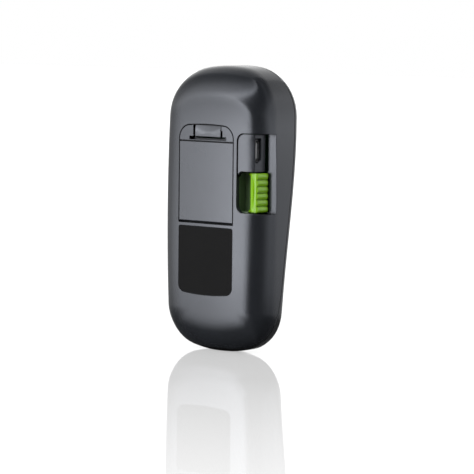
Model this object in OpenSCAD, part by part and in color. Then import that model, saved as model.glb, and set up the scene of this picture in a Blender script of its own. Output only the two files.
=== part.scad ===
// Hand-held blood glucose meter standing on its lower end.
// +Z runs up the body, +Y is the flat back with the battery door, -Y is the display side.
// The side with the USB socket and the code chip faces -X. Origin: middle of the foot.

/* [Body outline] */
// Overall height
body_h = 97.8; // [94:0.1:102]
// Overall width
body_w = 46.8; // [45.6:0.1:48.5]
// Overall thickness
body_d = 19.1; // [18.8:0.1:20.4]
// Radius of the top edge seen from the front
top_r = 54; // [48:1:70]
// Radius of the upper corners
corner_r = 17.5; // [16:0.1:18.5]
// Radius of the gently bowed sides
side_r = 700; // [500:20:1000]
// Height at which the body is widest
widest_z = 47.4; // [44:0.2:50]
// Radius of the lower corners
low_corner_r = 14.5; // [14.4:0.1:16]
// Radius of the lower end
low_r = 50; // [44:1:60]
// How much of the lower end is cut flat for the foot
foot_trim = 0.28; // [0.2:0.02:0.4]

/* [Edge rounding] */
// Back edge, how far in the rounding reaches at the sides
side_in = 9.9; // [9.4:0.1:10.4]
// Back edge, how deep the rounding is at the sides
side_deep = 6.1; // [5.6:0.1:6.6]
// Back edge at the top, reach
top_in = 12.6; // [11.6:0.1:13.6]
// Back edge at the top, depth
top_deep = 9.4; // [8.4:0.1:10.2]
// Back edge at the lower end, reach
low_in = 12.6; // [12:0.1:12.6]
// Back edge at the lower end, depth
low_deep = 6.6; // [6:0.1:7.2]
// Fullness of the rounding, 2 is an ellipse
fullness = 2.5; // [2.2:0.1:2.8]
// Front edge, reach of the rounding
front_in = 6.6; // [6:0.1:7]
// Front edge, depth of the rounding
front_deep = 2.7; // [2.4:0.1:2.9]
// How much thinner the lower end is
taper = 7.4; // [6.6:0.1:7.8]
// Distance from the top down to where the front starts to fall back
taper_drop = 7.8; // [5:0.2:11]
// Height where it has fallen back
taper_low_z = 8; // [6:0.5:10]

/* [Covers] */
// Wall of both covers
wall = 1.6; // [1.4:0.1:1.7]
// Depth of the front cover's edge behind the front surface
front_edge = 3; // [2.95:0.05:3.2]
// Extra depth of the front cover where it wraps the lower end
low_wrap = 3.4; // [3:0.1:3.6]
// Height over which it wraps
low_wrap_z = 22; // [20:1:24]
// Open joint between the two covers
joint_gap = 0.12; // [0.08:0.02:0.2]
// Chamfer along the joint
joint_chamfer = 0.16; // [0.12:0.01:0.25]
// Play between the locating lip and the rear cover
lip_gap = 0.25; // [0.2:0.01:0.3]
// Height of the locating lip inside the joint
lip_h = 2; // [1.6:0.1:2.2]
// Thickness of the locating lip
lip_t = 0.9; // [0.8:0.05:1]

/* [Battery door] */
// Strip of the back between the side recess and the door
door_side = 1.7; // [1.6:0.05:1.8]
// Width of the door
door_w = 23.3; // [23:0.1:23.8]
// Distance from the top of the body down to the door
door_drop = 20.2; // [20:0.1:20.6]
// Height of the door up to the top of its arch
door_h = 33.5; // [33.2:0.1:34]
// Corner radius of the arch
door_corner_r = 4.6; // [4:0.1:5]
// Rise of the arch between its corners
door_rise = 0.7; // [0.5:0.1:0.9]
// Thickness of the door
door_t = 1.4; // [1.3:0.05:1.45]
// Gap round the door
door_gap = 0.3; // [0.25:0.01:0.34]
// Height of the groove across the door, above its lower edge
door_groove_z = 27.85; // [27.6:0.05:28.1]
// Width of that groove
groove_w = 0.42; // [0.3:0.02:0.46]
// Depth of that groove
groove_deep = 0.65; // [0.4:0.05:0.75]
// Hinge pin radius
hinge_r = 0.5; // [0.45:0.01:0.52]
// Length of each hinge pin
hinge_len = 1.1; // [0.9:0.1:1.3]
// Running clearance of the hinge pins
hinge_gap = 0.06; // [0.04:0.01:0.08]

/* [Battery latch] */
// How far the latch tongue lies beside the door's middle, towards the recess
latch_side = 0.65; // [0:0.05:1.2]
// Width of the latch tongue
latch_w = 11.1; // [10.8:0.1:11.6]
// Slit at each side of the tongue
latch_slit = 0.8; // [0.7:0.05:0.9]
// Travel of the latch
latch_travel = 0.8; // [0.6:0.1:0.85]
// Extra width of the slot under the tongue, each side
latch_foot = 1.65; // [1.4:0.05:1.8]

/* [Battery] */
// Coin cell diameter
cell_d = 20; // [19.8:0.1:20.2]
// Coin cell thickness
cell_t = 3.2; // [3.1:0.05:3.2]
// Height of the cell's centre above the door's lower edge
cell_up = 14.5; // [14.2:0.1:14.8]
// Play round the cell
cell_gap = 0.3; // [0.2:0.05:0.35]
// Width of the minus spring
minus_w = 4; // [3.6:0.1:4.4]
// Width of the contacts' legs
leg_w = 1.2; // [1:0.1:1.4]
// Sheet thickness of the plus contact
clip_t = 0.25; // [0.2:0.01:0.3]

/* [Label] */
// Width of the bare rating label
label_w = 23.3; // [22.6:0.1:23.8]
// Lower edge of the label at its middle
label_z = 19.3; // [19:0.1:20]
// Distance from the door down to the label
label_gap = 1.5; // [1.3:0.1:2]
// Label thickness
label_t = 0.15; // [0.1:0.01:0.18]
// Lower corner radius of the label
label_corner_r = 2.6; // [2:0.1:3]

/* [Side recess] */
// Distance from the top of the body down to the recess
bay_drop = 22.5; // [22.2:0.1:22.8]
// Height of the recess
bay_h = 27; // [26.8:0.1:27.3]
// Width of the recess, from the widest part of the side to its inner edge
bay_w = 13.3; // [13.1:0.05:13.4]
// Corner radius of the recess
bay_corner_r = 2.7; // [2.2:0.1:3]
// Lean of the recess wall
bay_lean = 18; // [17:0.5:19]
// Width of the recess outside the leaning wall's foot
bay_foot = 4.55; // [4.4:0.05:4.7]
// Depth of the recess shelf below the back
shelf_deep = 5.15; // [5.05:0.05:5.25]
// Height of the part with the USB socket
port_h = 12.9; // [12.6:0.1:13.1]
// How far the port frame's skin lies below the housing
port_inset = 0.35; // [0.25:0.05:0.45]
// Height of the dark slot between the leaning wall and the shelf
foot_slot = 0.5; // [0.3:0.05:0.9]
// Gap round the inserts
insert_gap = 0.2; // [0.15:0.01:0.25]
// Wall of the inserts
insert_wall = 0.9; // [0.8:0.05:1]

/* [Code chip] */
// Height of the chip's grip
chip_h = 13.4; // [13:0.1:13.5]
// Thickness of the chip's grip
chip_t = 3.1; // [3:0.05:3.2]
// Width of the grip along the leaning wall
chip_w = 4.75; // [4.6:0.05:4.8]
// How far the grip stands out of the leaning wall
chip_proud = 1.25; // [1.1:0.05:1.35]
// Radius of the grip's outer crown
crown_r = 1.2; // [1:0.05:1.3]
// Radius of its crown over the pocket
crown_in_r = 2; // [1.6:0.1:2.2]
// How far the grip leans over the pocket
chip_over = 1.5; // [1.2:0.1:1.6]
// Height of the finger ribs on the grip
rib_deep = 0.4; // [0.3:0.05:0.45]
// Length of the small ears at the grip's ends
ear_len = 0.9; // [0.7:0.05:1]
// How far the ears reach past the grip
ear_out = 0.4; // [0.2:0.05:0.45]
// Number of grooves in the grip
chip_grooves = 5; // [4:1:6]
// Length of the chip's blade
blade_len = 8; // [7.6:0.1:8.1]
// Thickness of the blade
blade_t = 1.2; // [1.1:0.05:1.25]
// Width of the blade
blade_w = 11; // [10.4:0.1:11.4]
// Clearance round the blade
blade_gap = 0.2; // [0.15:0.01:0.25]
// Height of the blade above the leaning wall's foot
blade_up = 0.85; // [0.8:0.05:0.95]

/* [USB socket] */
// Distance from the recess's upper end down to the socket's middle
usb_drop = 5.7; // [5.4:0.1:6]
// Long side of the socket
usb_w = 7.5; // [7.3:0.1:7.7]
// Short side of the socket
usb_h = 1.7; // [1.6:0.05:1.75]
// Depth of the socket
usb_len = 5.6; // [5:0.1:6]
// Sheet thickness of the socket
usb_sheet = 0.25; // [0.2:0.01:0.28]
// Depth of the socket's middle below the back
usb_deep = 1.95; // [1.9:0.05:2.1]
// How far the mouth opens past the socket towards the back
mouth_open = 0.7; // [0.4:0.1:0.9]

/* [Display and buttons] */
// Width of the display lens
lens_w = 33; // [31:0.5:34]
// Lower edge of the lens
lens_z = 50.5; // [50:0.5:52]
// Distance from the top of the body down to the lens
lens_drop = 11.3; // [11:0.1:14]
// Corner radius of the lens
lens_r = 5; // [4:0.5:6]
// Thickness of the lens
lens_t = 1; // [0.9:0.05:1.05]
// Ledge that the lens is glued to
lens_ledge = 1.6; // [1.4:0.1:2]
// Distance from the lens down to the middle of the button row
button_drop = 12; // [11.6:0.2:12.4]
// Distance between the buttons
button_pitch = 17; // [16.4:0.2:17.4]
// Width of a button
button_w = 12; // [11.4:0.2:12.4]
// Height of a button
button_h = 7.4; // [7:0.2:7.6]
// How far a button stands out
button_proud = 0.5; // [0.4:0.05:0.6]
// Button travel
button_travel = 0.35; // [0.3:0.01:0.36]
// Gap round a button
button_gap = 0.2; // [0.15:0.01:0.25]
// Width of a button's inner rim
button_rim = 0.9; // [0.8:0.1:1]
// Radius of the snap dome under a button
dome_r = 2.6; // [2.4:0.1:2.8]
// Height of the snap dome
dome_h = 0.5; // [0.4:0.05:0.6]

/* [Strip end] */
// Width of the window cover
window_w = 22; // [21:0.5:23]
// Lower edge of the window cover
window_z = 7.2; // [7:0.1:7.6]
// Height of the window cover
window_h = 19.8; // [19.4:0.1:20.2]
// Corner radius of the window cover
window_r = 4; // [3.5:0.1:4.5]
// Thickness of the window cover
window_t = 1; // [0.9:0.05:1.05]
// Width of the opening behind the window cover
guide_w = 14; // [13:0.2:15]
// Height of the opening behind the window cover
guide_h = 13; // [12:0.2:14]
// Width of a test strip's path
strip_w = 6.6; // [6.2:0.1:7]
// Depth of a test strip's path
strip_t = 0.6; // [0.5:0.05:0.7]
// Width of the measuring opening
eye_w = 5.2; // [4.8:0.1:5.6]
// Height of the measuring opening
eye_h = 4.2; // [3.8:0.1:4.6]
// Depth of the optics block
optics_t = 3.6; // [3:0.2:4]

/* [Electronics] */
// Depth of the main board's front face below the back
board_deep = 9.85; // [9.75:0.05:9.95]
// Thickness of the main board
board_t = 1; // [0.8:0.1:1.1]
// Lower edge of the main board
board_z = 27; // [26.5:0.1:27.6]
// Gap between the board's edge and the locating lip
board_gap = 0.5; // [0.4:0.05:0.7]
// Radius of the screw shanks
screw_r = 0.8; // [0.75:0.05:0.85]
// Length of the screw shanks
screw_len = 3.5; // [3:0.1:3.8]
// Radius of the screw heads
head_r = 1.7; // [1.5:0.05:1.8]
// Radius of the screw bosses
boss_r = 1.8; // [1.7:0.05:1.9]
// Upper screws, distance in from the widest side
screw_in = 13.4; // [13:0.1:14]
// Upper screws, distance down from the top
screw_drop = 7; // [6.8:0.1:7.2]
// Lower screws, distance in from the side
low_screw_in = 5.4; // [5.3:0.05:5.6]
// Lower screws, height
low_screw_z = 46; // [45.5:0.5:46.5]
// Side of the processor
main_chip = 7; // [6:0.5:8]
// Thickness of the processor
main_chip_t = 1; // [0.8:0.1:1.2]
// Diameter of the buzzer
buzzer_d = 9; // [8.6:0.1:9.2]
// Height of the buzzer
buzzer_h = 2; // [1.8:0.1:2.1]
// Thickness of the small board behind the socket
port_board_t = 0.8; // [0.6:0.05:0.9]
// Width of the header between the boards
header_w = 1.8; // [1.6:0.1:2]

/* [Hidden] */
$fn = 64;

far = 30;            // reach of a cutter that leaves the body
back_y = body_d / 2; // the flat back
shelf_y = back_y - shelf_deep;
usb_y = back_y - usb_deep;
board_y = back_y - board_deep;
front_y0 = -body_d / 2;

// ---- outline seen from the front: four tangent arcs on each side -------------------------
// Where two circles cross, on the upper side (up = 1) or the lower side (up = -1).
function touch(c1, r1, c2, r2, up) =
  let (d = norm(c2 - c1), u = (c2 - c1) / d,
       a = (r1 * r1 - r2 * r2 + d * d) / (2 * d), h = sqrt(r1 * r1 - a * a),
       m = c1 + a * u)
  m + h * up * [u.y, -u.x];

side_c = [body_w / 2 - side_r, widest_z];
top_c = [0, body_h - top_r];
low_c = [0, low_r - foot_trim];
corner_c = touch(top_c, top_r - corner_r, side_c, side_r - corner_r, 1);
low_corner_c = touch(low_c, low_r - low_corner_r, side_c, side_r - low_corner_r, -1);

top_a = atan2(corner_c.x - top_c.x, corner_c.y - top_c.y);
corner_a = atan2(corner_c.x - side_c.x, corner_c.y - side_c.y);
low_corner_a = atan2(low_corner_c.x - side_c.x, low_corner_c.y - side_c.y);
low_a = atan2(low_corner_c.x - low_c.x, low_corner_c.y - low_c.y);

// Points of an arc as [x, z, angle from +Z]; the last point belongs to the next arc.
function arc(c, r, a0, a1, n) =
  [for (k = [0:n - 1]) let (t = a0 + (a1 - a0) * k / n) [c.x + r * sin(t), c.y + r * cos(t), t]];

half_outline = concat(
  arc(top_c, top_r, 0, top_a, 5),
  arc(corner_c, corner_r, top_a, corner_a, 11),
  arc(side_c, side_r, corner_a, low_corner_a, 10),
  arc(low_corner_c, low_corner_r, low_corner_a, low_a, 11),
  arc(low_c, low_r, low_a, 180, 5),
  [[0, -foot_trim, 180]]);
half_n = len(half_outline) - 1;
outline = concat(half_outline,
  [for (k = [half_n - 1:-1:1]) let (p = half_outline[k]) [-p.x, p.y, -p.z]]);
ring_n = len(outline);

// ---- depth profile -----------------------------------------------------------------------
// Share of the top and of the lower end in a direction.
function up_share(a) = pow(max(0, cos(a)), 2);
low_from = 88;  // angle from the top at which the lower end's share starts to grow
low_full = 130; // angle at which it is fully grown
function low_share(a) =
  let (u = min(1, max(0, (abs(a) - low_from) / (low_full - low_from))))
  u * u * (3 - 2 * u);
function round_in(a) = side_in + (top_in - side_in) * up_share(a) + (low_in - side_in) * low_share(a);
function round_deep(a) =
  side_deep + (top_deep - side_deep) * up_share(a) + (low_deep - side_deep) * low_share(a);

// The front surface falls back towards the lower end in one soft wave.
function front_y(z) =
  let (u = min(1, max(0, (body_h - taper_drop - z) / (body_h - taper_drop - taper_low_z))))
  front_y0 + taper * (1 - cos(180 * u)) / 2;
// Depth of the joint between the covers; it runs further back where the front cover wraps the end.
function wrap_share(z) = (1 - cos(180 * min(1, max(0, (low_wrap_z - z) / low_wrap_z)))) / 2;
function joint_y(z) = front_y(z) + front_edge + low_wrap * wrap_share(z);

// Inset of the rounded back edge at depth y, for a skin that lies off inside the surface.
function back_inset(a, y, off) =
  let (deep = round_deep(a) - off, reach = round_in(a) - off,
       v = min(1, max(0, (y - (back_y - off - deep)) / deep)))
  off + reach * (1 - pow(1 - pow(v, fullness), 1 / fullness));
// An outline point moved in by d, at depth y; the foot is cut flat at height low.
function point(p, d, y, low) = [p.x - d * sin(p.z), y, max(low, p.y - d * cos(p.z))];

// ---- closed rings ------------------------------------------------------------------------
back_steps = 14; // rings of the outer back rounding
inner_steps = 4; // rings of the inner back rounding
front_steps = 4; // rings of the front rounding
step_min = 0.05; // least distance between rings
lip_drop = 0.7;  // share by which the lip is lower where the front cover wraps the end

function back_ring(k, steps, off, low) =
  [for (p = outline)
    let (deep = round_deep(p.z) - off,
         y0 = back_y - off - deep * (1 - pow(sin(90 * k / steps), 2 / fullness)),
         y = max(y0, joint_y(p.y) + joint_gap + joint_chamfer + step_min * (k + 1)))
    point(p, back_inset(p.z, y, off), y, low)];
function joint_ring(d, dy, low, lip = 0) =
  [for (p = outline)
    let (y = joint_y(p.y) + dy + lip * (1 - lip_drop * wrap_share(p.y)))
    point(p, back_inset(p.z, y, 0) + d, y, low)];
function front_ring(k, off, low) =
  [for (p = outline)
    let (reach = front_in - off / 2, deep = front_deep - off / 2,
         d = off + reach * (1 - pow(cos(90 * k / front_steps), 2 / fullness)),
         q = point(p, d, 0, low))
    [q.x, front_y(q.z) + off + deep * (1 - pow(sin(90 * k / front_steps), 2 / fullness)), q.z]];

// A solid from rings of ring_n points, closed at both ends by rows across the body.
module loft(rings) {
  m = len(rings);
  points = [for (r = rings) each r];
  side = [for (j = [0:m - 2], i = [0:ring_n - 1])
    let (i2 = (i + 1) % ring_n)
    each [[j * ring_n + i, (j + 1) * ring_n + i, (j + 1) * ring_n + i2],
          [j * ring_n + i, (j + 1) * ring_n + i2, j * ring_n + i2]]];
  last = (m - 1) * ring_n;
  first_cap = [for (i = [0:half_n - 1])
    let (a = i, b = i + 1, c = (ring_n - i - 1) % ring_n, d = (ring_n - i) % ring_n)
    each [if (b != c) [a, b, c], if (a != d) [a, c, d]]];
  last_cap = [for (f = first_cap) [last + f[0], last + f[2], last + f[1]]];
  polyhedron(points, concat(side, first_cap, last_cap));
}

rear_rings = concat(
  [for (k = [inner_steps:-1:0]) back_ring(k, inner_steps, wall, wall)],
  [joint_ring(wall, joint_gap, wall), joint_ring(joint_chamfer, joint_gap, 0),
   joint_ring(0, joint_gap + joint_chamfer, 0)],
  [for (k = [0:back_steps]) back_ring(k, back_steps, 0, 0)]);
lip_out = wall + lip_gap;
lip_in = lip_out + lip_t;
front_rings = concat(
  [for (k = [front_steps:-1:0]) front_ring(k, 0, 0)],
  [joint_ring(0, -joint_gap - joint_chamfer, 0), joint_ring(joint_chamfer, -joint_gap, 0),
   joint_ring(lip_out, -joint_gap, lip_out), joint_ring(lip_out, 0, lip_out, lip_h),
   joint_ring(lip_in, 0, lip_in, lip_h)],
  [for (k = [0:2:front_steps]) [for (q = front_ring(k, lip_in, lip_in))
    [q.x, front_y(q.z) + wall + (q.y - front_y(q.z) - lip_in), q.z]]]);

// ---- helpers -----------------------------------------------------------------------------
// Extrudes an XZ shape from depth y0 to y1.
module along_y(y0, y1) translate([0, y1, 0]) rotate([90, 0, 0]) linear_extrude(y1 - y0) children();
// Extrudes an XY shape from height z0 to z1.
module along_z(z0, z1) translate([0, 0, z0]) linear_extrude(z1 - z0) children();
module round_rect(w, h, r) {
  square([w - 2 * r, h], center = true);
  square([w, h - 2 * r], center = true);
  for (x = [-1, 1], z = [-1, 1]) translate([x * (w / 2 - r), z * (h / 2 - r)]) circle(r);
}
// A sheet that follows the front surface, from depth a to b behind it.
module front_sheet(z0, z1, half_w, a, b, n = 12) {
  zs = [for (k = [0:n]) z0 + (z1 - z0) * k / n];
  translate([-half_w, 0, 0]) rotate([90, 0, 90]) linear_extrude(2 * half_w)
    polygon(concat([for (z = zs) [front_y(z) + a, z]],
                   [for (k = [n:-1:0]) [front_y(zs[k]) + b, zs[k]]]));
}

// Half width of the body at height z, away from its corners.
function half_w(z) = body_w / 2 - side_r + sqrt(side_r * side_r - pow(z - widest_z, 2));
// Depth of a skin at x and z, off inside the back surface near a side.
function skin_y(x, z, off) =
  let (deep = side_deep - off,
       t = min(1, max(0, (abs(x) - half_w(z) + side_in) / (side_in - off))))
  back_y - off - deep + deep * pow(1 - pow(t, fullness), 1 / fullness);
// Points along such a skin between x0 and x1.
function skin_points(x0, x1, z, off, n = 10) =
  [for (k = [0:n]) let (x = x0 + (x1 - x0) * k / n) [x, skin_y(x, z, off)]];

// ---- derived places ----------------------------------------------------------------------
sink = 0.05;                        // how far door and label lie below the back
seat = 0.05;                        // play between pieces that rest on each other

bay_x = bay_w - body_w / 2;
bay_z = body_h - bay_drop - bay_h;
bay_top_z = bay_z + bay_h;
bay_foot_x = bay_foot - body_w / 2;
bay_t = 0.95;                       // end walls and shelf of the side recess
liner_t = 0.7;                      // wall of the dark liner next to the door
shelf_x = bay_foot_x - 0.65;        // inner edge of the shelf, a groove short of the leaning wall
port_z = bay_top_z - port_h;
usb_z = bay_top_z - usb_drop;
chip_z = bay_z + (bay_h - port_h) / 2;
chip_in = chip_proud - chip_t;      // inner face of the grip, measured outwards from the wall
wall_slope = tan(bay_lean);
grip_turn = 50;                     // how far the grip's inner crown turns down
over_v = chip_w - crown_in_r * (1 - cos(grip_turn));

door_x = bay_x + door_side + door_w / 2;
door_z = body_h - door_drop - door_h;
door_y = back_y - sink;             // outer face of the door
ledge_y = door_y - door_t - seat;   // the ledge that the door rests on
ledge_t = 1.1;                      // thickness of that ledge
ledge_w = 0.9;                      // how far the ledge reaches past the door
hinge_y = door_y - door_t / 2;
hinge_z = door_z + door_t / 2;
latch_x = door_x - latch_side;
latch_room = latch_travel + door_gap;
slot_step = latch_room / 2;          // height of the step that shows in the slot
slot_z = door_z + door_groove_z + 0.55; // lower edge of the slot under the tongue
label_top_z = door_z - label_gap;

cell_z = door_z + cell_up;
cell_back = ledge_y - 0.45;         // outer face of the coin cell
cell_front = cell_back - cell_t;
tray_floor = cell_front - 0.6;      // where the minus spring lies
tray_t = 0.9;
tray_top = ledge_y - ledge_t - seat;
tray_wall = 1.05;

lens_top_z = body_h - lens_drop;
lcd_t = 2;                          // display glass
lcd_w = lens_w - 3;
lcd_h = lens_top_z - lens_z - 5.2;
lcd_z = lens_z + 1.4;
lcd_face = front_y(lcd_z) + wall + 0.7;
lcd_tilt = atan((front_y(lens_z) - front_y(lens_top_z)) / (lens_top_z - lens_z));
button_z = lens_z - button_drop;
window_top_z = window_z + window_h;
guide_z = (window_z + window_top_z) / 2 - 0.6;
strip_a = window_t + 0.1;           // depth of the strip's path behind the front surface
strip_b = strip_a + strip_t;

board_back = board_y + board_t;
low_screw_x = half_w(low_screw_z) - low_screw_in;
screw_at = [for (s = [-1, 1]) each [
  [s * (body_w / 2 - screw_in), body_h - screw_drop], [s * low_screw_x, low_screw_z]]];

// Outer surface of the back with all its rings, off inside the real one.
module envelope(off) {
  loft(concat([joint_ring(off, joint_gap, off)],
    [for (k = [0:back_steps]) back_ring(k, back_steps, off, off)]));
}
// Local frame of the leaning wall: x outwards from it, y along it from the shelf to the back.
module lean() translate([bay_foot_x, shelf_y]) rotate([0, 0, -bay_lean]) mirror([1, 0, 0]) children();
// Across position of the leaning wall at depth y.
function lean_x(y) = bay_foot_x + (y - shelf_y) * wall_slope;
// Along the leaning wall, where a plane at depth y crosses the distance x from it.
function lean_y(x, y) = (y - shelf_y - x * sin(bay_lean)) / cos(bay_lean);

// A rectangle standing on z = 0 with an arched top, rounded top corners and small lower corners.
module arch_shape(w, h, r, rise, low_r) {
  drop = rise * pow(1 - 2 * r / w, 2);
  arch_r = (w * w / 4 + rise * rise) / (2 * rise);
  intersection() {
    union() {
      translate([-w / 2, low_r]) square([w, h - r - drop - low_r]);
      translate([r - w / 2, low_r]) square([w - 2 * r, h - low_r]);
      translate([low_r - w / 2, 0]) square([w - 2 * low_r, h / 2]);
      for (x = [-1, 1]) {
        translate([x * (w / 2 - r), h - r - drop]) circle(r);
        translate([x * (w / 2 - low_r), low_r]) circle(low_r);
      }
    }
    translate([0, h - arch_r]) circle(arch_r, $fn = 256);
  }
}
module door_shape(grow) translate([door_x, door_z - grow])
  arch_shape(door_w + 2 * grow, door_h + 2 * grow, door_corner_r + grow, door_rise, 0.3);
module label_shape(grow) translate([door_x, label_top_z + grow]) mirror([0, 1])
  arch_shape(label_w + 2 * grow, label_top_z - label_z + 2 * grow, label_corner_r + grow, 0.9, 0.8);
module bay_shape() {
  reach = body_w / 2 + bay_x + 6;
  translate([bay_x - reach / 2, bay_z + bay_h / 2]) round_rect(reach, bay_h, bay_corner_r);
}
// Wall that closes an end of the side recess, up to a skin that lies off inside the surface.
module bay_end(z, off) {
  polygon(concat(skin_points(bay_x + liner_t + 0.1, off - half_w(z), z, off),
    [[off - half_w(z), shelf_y - bay_t], [bay_x + liner_t + 0.1, shelf_y - bay_t]]));
}
module cell_opening() translate([door_x, cell_z])
  square([cell_d + 2 * cell_gap - 0.3, cell_d + 4.2], center = true);
module button_shape(grow) round_rect(button_w + 2 * grow, button_h + 2 * grow, button_h / 2 + grow - 0.01);
module lens_shape(grow) translate([0, (lens_z + lens_top_z) / 2])
  round_rect(lens_w + 2 * grow, lens_top_z - lens_z + 2 * grow, lens_r + grow);
module window_shape(grow) translate([0, (window_z + window_top_z) / 2])
  round_rect(window_w + 2 * grow, window_top_z - window_z + 2 * grow, window_r + grow);
module guide_shape(grow) translate([0, guide_z]) round_rect(guide_w + 2 * grow, guide_h + 2 * grow, 1.5);

// ---- housing -----------------------------------------------------------------------------
module rear_cover() {
  color("#5b5e63") difference() {
    union() {
      loft(rear_rings);
      along_y(ledge_y - ledge_t, ledge_y) intersection() {
        door_shape(door_gap + ledge_w);
        translate([bay_x + liner_t + seat + 0.2, 0]) square([body_w, body_h]);
      }
      // end walls and shelf of the side recess
      for (z = [bay_z - bay_t, bay_z + bay_h])
        along_z(z, z + bay_t) bay_end(z, wall / 2);
      along_y(shelf_y - bay_t, shelf_y) polygon([
        [shelf_x, bay_z - bay_t], [-half_w(bay_z) + wall / 2, bay_z - bay_t],
        [-half_w(bay_top_z) + wall / 2, bay_top_z + bay_t], [shelf_x, bay_top_z + bay_t]]);
    }
    along_y(ledge_y, far) door_shape(door_gap);
    along_y(0, far) cell_opening();
    // room behind the latch, which leaves a step under the slot
    along_y(0, far) translate([latch_x - latch_w / 2 - latch_slit, slot_z + slot_step])
      square([latch_w + 2 * latch_slit, door_z + door_h - slot_z - slot_step - 1]);
    for (x = [-1, 1])
      translate([door_x + x * (door_w / 2 + door_gap + hinge_len / 2 - 0.1), hinge_y, hinge_z])
        rotate([0, 90, 0]) cylinder(h = hinge_len + 0.3, r = hinge_r + hinge_gap, center = true);
    along_y(back_y - sink - label_t, far) label_shape(0.15);
    along_y(shelf_y, far) bay_shape();
  }
}

module front_cover() {
  color("#3c3f43") difference() {
    union() {
      loft(front_rings);
      for (p = screw_at) along_y(front_y(p.y) + wall / 2, board_y) translate(p) circle(boss_r);
      // thicker floor under the strip's path
      front_sheet(3.5, guide_z, strip_w / 2 + 1.2, wall / 2, wall + 1);
    }
    for (p = screw_at) along_y(front_y(p.y) + wall, board_y + 1) translate(p) circle(screw_r + 0.05);
    intersection() {
      front_sheet(lens_z - 2, lens_top_z + 2, lens_w / 2 + 2, -2, lens_t + 0.1);
      along_y(-far, far) lens_shape(0.15);
    }
    along_y(-far, board_y) lens_shape(-lens_ledge);
    for (x = [-1, 1]) translate([x * button_pitch / 2, 0, button_z])
      along_y(-far, board_y) button_shape(button_gap);
    intersection() {
      front_sheet(window_z - 2, window_top_z + 2, window_w / 2 + 2, -2, window_t + 0.1);
      along_y(-far, far) window_shape(0.2);
    }
    along_y(-far, board_y + 3) guide_shape(0.15);
    front_sheet(2, guide_z, strip_w / 2, -4, strip_b);
  }
}

// ---- side recess -------------------------------------------------------------------------
// Grey insert of the upper half of the recess, with the leaning wall that holds the socket.
module port_frame() {
  in_x = bay_x - insert_gap;
  skin_low = back_y - 2.15;
  wall_low = shelf_y + foot_slot;
  fillet = 1.8;
  color("#5b5e63") difference() {
    union() {
      intersection() {
        envelope(port_inset);
        union() {
          along_z(port_z, bay_top_z - insert_gap) polygon([
            [in_x, far], [in_x, skin_low], [lean_x(skin_low) + insert_wall, skin_low],
            [lean_x(wall_low) + insert_wall, wall_low], [lean_x(wall_low), wall_low],
            [lean_x(far), far]]);
          // rounded corner of the pocket below
          along_y(skin_low, far) translate([in_x - fillet, port_z - fillet]) difference() {
            square([fillet, fillet + 0.4]);
            circle(fillet);
          }
        }
        along_y(0, far) translate([in_x - 10, port_z - 5 + port_h / 2])
          round_rect(20, port_h + 10 - 2 * insert_gap, bay_corner_r);
      }
      // lower end wall, which closes the pocket beside the chip
      along_z(port_z, port_z + insert_wall) polygon([
        [in_x, skin_low + 0.6], [in_x, shelf_y + 0.2], [lean_x(shelf_y) + 0.2, shelf_y + 0.2],
        [lean_x(skin_low) + 0.2, skin_low + 0.6]]);
    }
    usb_frame() {
      translate([0, 0, -1]) linear_extrude(usb_len + 2) usb_shape(usb_sheet + 0.06);
      // wider mouth, which breaks through the rounded edge
      translate([0, 0, -3]) linear_extrude(2.9) usb_mouth();
    }
  }
}
// Dark liner of the pocket beside the code chip.
module chip_bay() {
  wall_x = bay_x + 0.05;
  floor_v = blade_up + blade_t + 0.15;
  floor_t = 0.6;
  low_z = bay_z + 0.05;
  high_z = port_z - 0.1;
  color("#26282a") {
    along_z(low_z, high_z) intersection() {
      lean() translate([-bay_w, floor_v]) square([bay_w + chip_in - 0.3, floor_t]);
      translate([bay_x - 8, 0]) square([8 + 0.5, 12]);
    }
    along_z(low_z, high_z) translate([wall_x, shelf_y - 0.5])
      square([liner_t - 0.05, shelf_deep - wall + 0.4]);
    along_z(low_z, low_z + 0.4) polygon([
      [wall_x, back_y - wall - 0.1], [bay_x - 3.5, back_y - wall - 0.5], [bay_x - 3.5, shelf_y + 1],
      [wall_x, shelf_y - 0.2]]);
  }
}

// ---- battery compartment -----------------------------------------------------------------
module battery_door() {
  slot_w = latch_w + 2 * latch_slit + 2 * latch_foot;
  color("#5b5e63") difference() {
    union() {
      along_y(door_y - door_t, door_y) intersection() {
        door_shape(0);
        translate([door_x - door_w, hinge_z]) square([2 * door_w, door_h]);
      }
      translate([door_x, hinge_y, hinge_z]) rotate([0, 90, 0]) {
        cylinder(h = door_w, r = door_t / 2, center = true);
        cylinder(h = door_w + 2 * hinge_len, r = hinge_r, center = true);
      }
    }
    // slot and slits round the tongue
    along_y(0, far) {
      translate([latch_x - slot_w / 2, slot_z]) square([slot_w, latch_room]);
      translate([latch_x - latch_w / 2 - door_gap, slot_z + 0.1])
        square([latch_w + door_gap + latch_slit, door_h]);
      translate([latch_x - latch_w / 2 - latch_slit, slot_z + 0.1])
        square([2 * latch_slit, latch_room + 2]);
    }
    // groove across the door
    along_y(door_y - groove_deep, far)
      translate([door_x - door_w, door_z + door_groove_z - groove_w / 2])
        square([2 * door_w, groove_w]);
  }
}
module battery_latch() {
  nail_r = 12.4;
  nail_z = slot_z + 2.4;
  color("#5b5e63") difference() {
    along_y(door_y - door_t, door_y) intersection() {
      door_shape(0);
      translate([latch_x - latch_w / 2, slot_z + latch_room]) square([latch_w, door_h]);
    }
    translate([latch_x, door_y + 0.2, nail_z + nail_r]) rotate([90, 0, 0])
      cylinder(h = 0.9, r1 = nail_r + 0.8, r2 = nail_r - 2.8);
  }
}
module coin_cell() {
  color("#c9ccd0") translate([door_x, cell_back, cell_z]) rotate([90, 0, 0]) {
    cylinder(h = cell_t - 0.25, r = cell_d / 2);
    cylinder(h = cell_t, r = cell_d / 2 - 1.1);
  }
}
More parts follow.
